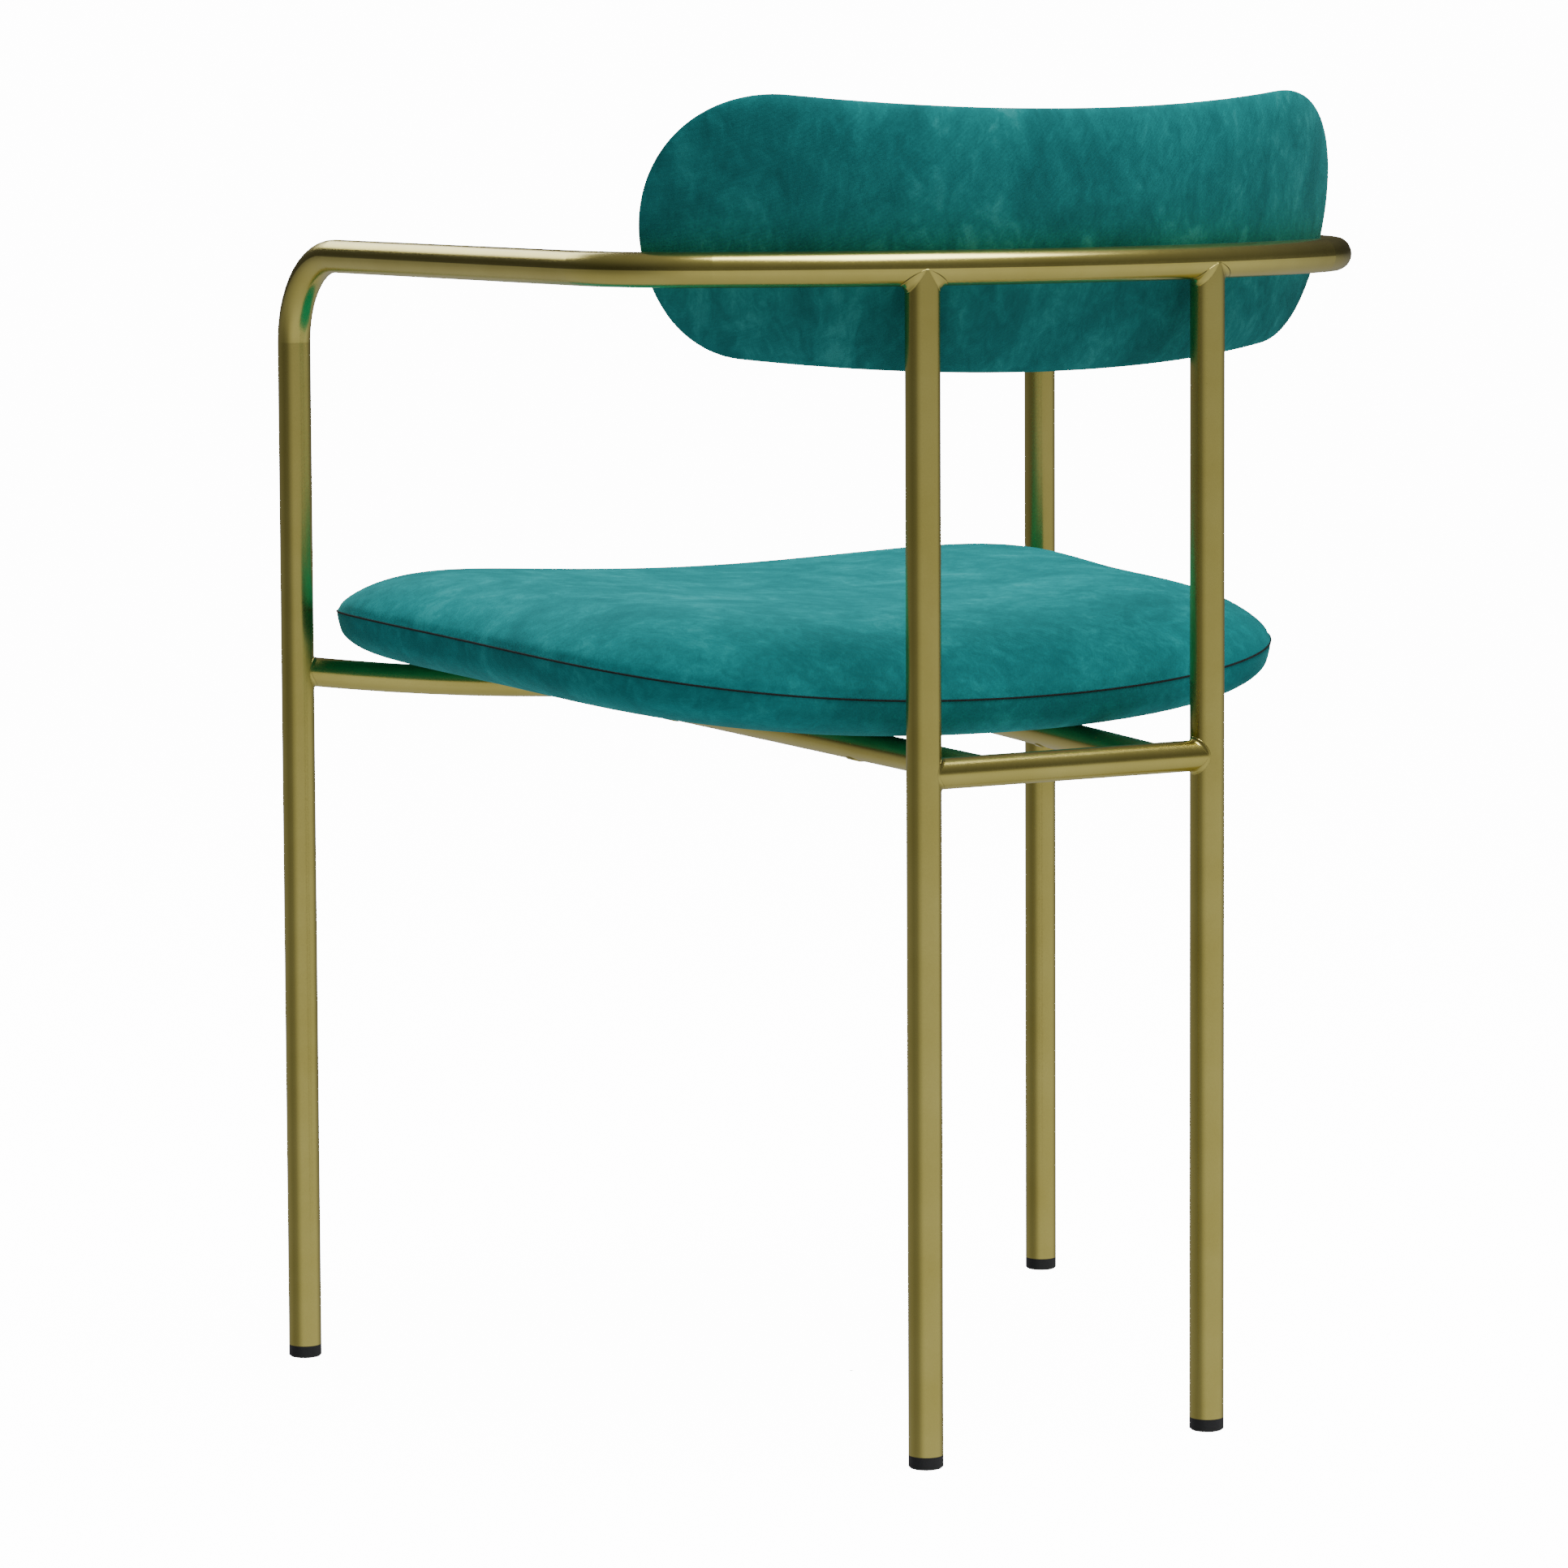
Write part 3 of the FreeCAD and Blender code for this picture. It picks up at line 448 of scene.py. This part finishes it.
def seam_shade_cord():
    """Near-black cord along the seam: a real seam, but its near-black line is painted shade of the seam
    groove, with twisted noise.
    """
    material, tree, shader = new_material("painted_seam_shade")
    place = add(tree, "ShaderNodeTexCoord").outputs["Object"]
    twist = add(tree, "ShaderNodeTexNoise", {"Scale": 500.0, "Detail": 2.0}, Vector=place)
    colour = ramp(tree, twist.outputs[0], [(0.35, "#06100F"), (0.65, "#12201F")])
    tree.links.new(shader.inputs["Base Color"], colour)
    shader.inputs["Roughness"].default_value = 0.8
    return material


def give(obj, material):
    obj.data.materials.clear()
    obj.data.materials.append(material)
    return obj


# ------------------------------------------------------------------ build
brass = satin_brass()
# One velvet in two copies: the seat copy is painted lighter as painted light on the up-facing seat, and the
# back copy is painted darker as painted shade on the upright back
seat_shades_painted_light = ("#08777B", "#0B8588", "#109295", "#22A2A4")
back_shades_painted_shade = ("#10696A", "#157A7B", "#1B8989", "#329C9B")
seat_velvet_painted_light = velvet("brushed_velvet_seat_painted_light", (1.0, 1.0, 1.0), (0, 0, 0.6), seat_shades_painted_light)
back_velvet_painted_shade = velvet("brushed_velvet_back_painted_shade", (1.0, 1.0, 0.6), (0, 0, 0.2), back_shades_painted_shade)
charcoal = moulded_plastic("moulded_polythene", "#17181A", "#232427", 0.45)
plywood = birch_plywood()
zinc = zinc_steel()
seam_shade = seam_shade_cord()

BRASS_NODES = ["frame_hoop", "rear_leg_left", "rear_leg_right", "rear_cross_rail", "front_rail"]
BRASS_NODES += ["seat_bar_left", "seat_bar_right", "seat_bar_hole_plugs"]
STEEL_NODES = ["seat_tee_nuts", "seat_bolts", "seat_saddle_washers", "back_bolts", "back_rivet_nuts"]
PLAIN = [
    (brass, "brass_tube", BRASS_NODES),
    (charcoal, "glide_plastic", [n for n in nodes if n.startswith("foot_glide")]),
    (plywood, "birch_plywood", ["seat_board", "back_board"]),
    (zinc, "zinc_steel", STEEL_NODES),
]
for material, slot_name, names in PLAIN:
    for name in names:
        give(nodes[name], material)
        nodes[name].data.shade_smooth()

seat_pad = closed_pad("seat_pad", seat_points, PAD_STEPS)
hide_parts("seat_foam", "seat_top_cover", "seat_under_cover")
give(seat_pad, seat_velvet_painted_light)
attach(seat_pad, "root")

back_pad = closed_pad("back_pad", settled_back, PAD_STEPS)
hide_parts("back_foam", "back_wadding", "back_front_cover", "back_rear_cover")
give(back_pad, back_velvet_painted_shade)
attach(back_pad, "root")

# Near-black cord round the seat seam: painted shade standing in for the dark seam groove
seat_seam = make_mesh("seat_seam_painted_shade", *tube_along(rim_path(seat_points, 480), 0.6 * MM))
give(weld(seat_seam, 1e-7), seam_shade)
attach(seat_seam, "root")

leg_lean = math.asin(rear_leg_x / back_rail_radius)
bar_direction = np.array([bar_front_x - bar_rear_x, front_leg_y - rear_leg_y, bar_front_z - cross_rail_z])
rail_slope = front_leg_x / math.sqrt(front_rail_radius ** 2 - front_leg_x ** 2)
bar_slope = bar_front_x / math.sqrt(front_rail_radius ** 2 - bar_front_x ** 2)
JOINTS = {
    "weld_back_rail": ("weld_beads_back_rail", 4.5 * MM, [
        ((side * rear_leg_x, rear_leg_y, arm_height), (0, 0, -1), tube_radius,
         (math.cos(leg_lean), -side * math.sin(leg_lean), 0), tube_radius) for side in (1, -1)]),
    "weld_cross_rail": ("weld_beads_cross_rail", 2.2 * MM, [
        ((side * rear_leg_x, rear_leg_y, cross_rail_z), (-side, 0, 0), rail_radius, (0, 0, 1), tube_radius)
        for side in (1, -1)]),
    "weld_front_rail": ("weld_beads_front_rail", 2.2 * MM, [
        ((side * front_leg_x, front_leg_y, front_rail_end_z), (-side, 0, -rail_slope), rail_radius,
         (0, 0, 1), tube_radius) for side in (1, -1)]),
    "weld_seat_bars": ("weld_beads_seat_bars", 2.2 * MM, [
        ((side * bar_rear_x, rear_leg_y, cross_rail_z), bar_direction * (side, 1, 1), rail_radius,
         (1, 0, 0), rail_radius) for side in (1, -1)] + [
        ((side * bar_front_x, front_leg_y, bar_front_z), bar_direction * (-side, -1, -1), rail_radius,
         (1, 0, side * bar_slope), rail_radius) for side in (1, -1)]),
}
for name, (stands_for, reach, joints) in JOINTS.items():
    give(fillets(name, joints, reach, stands_for), brass)
    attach(bpy.data.objects[name], "root")


# ------------------------------------------------------------------ floor, light and camera
def studio_cove():
    """Pale floor that sweeps up into a wall all round: a profile turned about the vertical."""
    bend = np.linspace(0, np.pi / 2, 9)
    radius = np.concatenate([[0.001, 2.0, 5.0], 8.0 + 2.0 * np.sin(bend), [10.0]])
    height = np.concatenate([[0.0, 0.0, 0.0], 2.0 - 2.0 * np.cos(bend), [9.0]]) - 0.0005
    turn = np.linspace(0, 2 * np.pi, 48, endpoint=False)
    ring = np.stack([np.cos(turn), np.sin(turn)], axis=-1)
    level = np.broadcast_to(height[:, None, None], (len(radius), len(turn), 1))
    points = np.concatenate([radius[:, None, None] * ring, level], axis=-1)
    return make_mesh("studio_cove", points.reshape(-1, 3), grid_faces(len(radius), len(turn), False, True))


cove = studio_cove()
paper, paper_tree, paper_shader = new_material("white_paper_sweep")
paper_shader.inputs["Base Color"].default_value = linear("#F4F4F2")
paper_shader.inputs["Roughness"].default_value = 0.95
paper_shader.inputs["Specular IOR Level"].default_value = 0.0
paper_shader.inputs["Emission Color"].default_value = linear("#FFFFFF")
paper_shader.inputs["Emission Strength"].default_value = 14.0
cove.data.materials.append(paper)
cove.visible_diffuse = False
cove.visible_glossy = False
cove.visible_shadow = False
cove.visible_transmission = False


def softbox(name, place, aim, width, height, power):
    """Rectangular light turned towards a point."""
    light = bpy.data.lights.new(name, "AREA")
    light.shape = "RECTANGLE"
    light.size, light.size_y = width, height
    light.energy = power
    obj = bpy.data.objects.new(name, light)
    bpy.context.scene.collection.objects.link(obj)
    obj.location = place
    obj.rotation_euler = (Vector(aim) - Vector(place)).to_track_quat("-Z", "Y").to_euler()
    return obj


softbox("overhead_softbox", (-0.3, 0.7, 2.9), (0, 0.1, 0.5), 1.5, 1.3, 76)
softbox("front_softbox", (0.3, -2.4, 2.1), (0, 0, 0.5), 1.6, 0.8, 18)

world = bpy.data.worlds.new("studio_world")
world.use_nodes = True
world_tree = world.node_tree
world_tree.nodes.clear()
sky = add(world_tree, "ShaderNodeTexCoord").outputs["Generated"]
sky_z = add(world_tree, "ShaderNodeSeparateXYZ", i0=sky).outputs[2]
# a direction's part along an axis runs -1 to 1; halved and raised, it is a place on a ramp
to_ramp = {"operation": "MULTIPLY_ADD", 1: 0.5, 2: 0.5}
z_share = add(world_tree, "ShaderNodeMath", to_ramp, i0=sky_z).outputs[0]
height_stops = [(0.0, 0.62), (0.30, 0.80), (0.44, 0.78), (0.475, 0.55)]
height_stops += [(0.515, 0.16), (0.62, 0.13), (0.75, 0.2), (1.0, 0.34)]
by_height = ramp(world_tree, z_share, height_stops)
along = {"operation": "DOT_PRODUCT", 1: (-0.262, 0.965, 0.0)}
lit_side = add(world_tree, "ShaderNodeVectorMath", along, i0=sky).outputs["Value"]
side_share = add(world_tree, "ShaderNodeMath", to_ramp, i0=lit_side).outputs[0]
side_stops = [(0.0, 0.4), (0.25, 0.25), (0.5, 0.32), (0.62, 0.6), (0.8, 1.0), (1.0, 1.0)]
by_side = ramp(world_tree, side_share, side_stops)
steep = add(world_tree, "ShaderNodeMath", {"operation": "ABSOLUTE"}, i0=sky_z).outputs[0]
fade = {"From Min": 0.1, "From Max": 0.9, "To Min": 0.0, "To Max": 0.85}
blend = add(world_tree, "ShaderNodeMapRange", fade, Value=steep).outputs[0]
to_white = {"data_type": "RGBA", 7: (1, 1, 1, 1)}
side_factor = add(world_tree, "ShaderNodeMix", to_white, i0=blend, i6=by_side).outputs[2]
times = {"data_type": "RGBA", "blend_type": "MULTIPLY", 0: 1.0}
glow = add(world_tree, "ShaderNodeMix", times, i6=by_height, i7=side_factor).outputs[2]
background = add(world_tree, "ShaderNodeBackground", {"Strength": 0.95}, Color=glow)
world_out = add(world_tree, "ShaderNodeOutputWorld")
world_tree.links.new(world_out.inputs["Surface"], background.outputs[0])
bpy.context.scene.world = world

camera_data = bpy.data.cameras.new("camera")
camera_data.sensor_width = 36.0
camera_data.lens = 140.80611
camera_data.shift_x = 0.00193
camera_data.shift_y = -0.14
camera_data.clip_end = 60.0
camera = bpy.data.objects.new("camera", camera_data)
bpy.context.scene.collection.objects.link(camera)
azimuth, pitch, roll = math.radians(150.33407), math.radians(4.67655), -0.00488
level_x, level_y = -math.sin(azimuth), math.cos(azimuth)
view_direction = np.array([level_x * math.cos(pitch), level_y * math.cos(pitch), -math.sin(pitch)])
camera_place = (1.85912, 3.1821, 0.794)
right = unit(np.cross(view_direction, [0, 0, 1.0]))
upward = np.cross(right, view_direction)
turned_right = math.cos(roll) * right + math.sin(roll) * upward
turned_up = -math.sin(roll) * right + math.cos(roll) * upward
axes = np.stack([turned_right, turned_up, -view_direction], axis=1).tolist()
rows = [[*row, place] for row, place in zip(axes, camera_place)]
camera.matrix_world = Matrix(rows + [[0, 0, 0, 1]])
bpy.context.scene.camera = camera
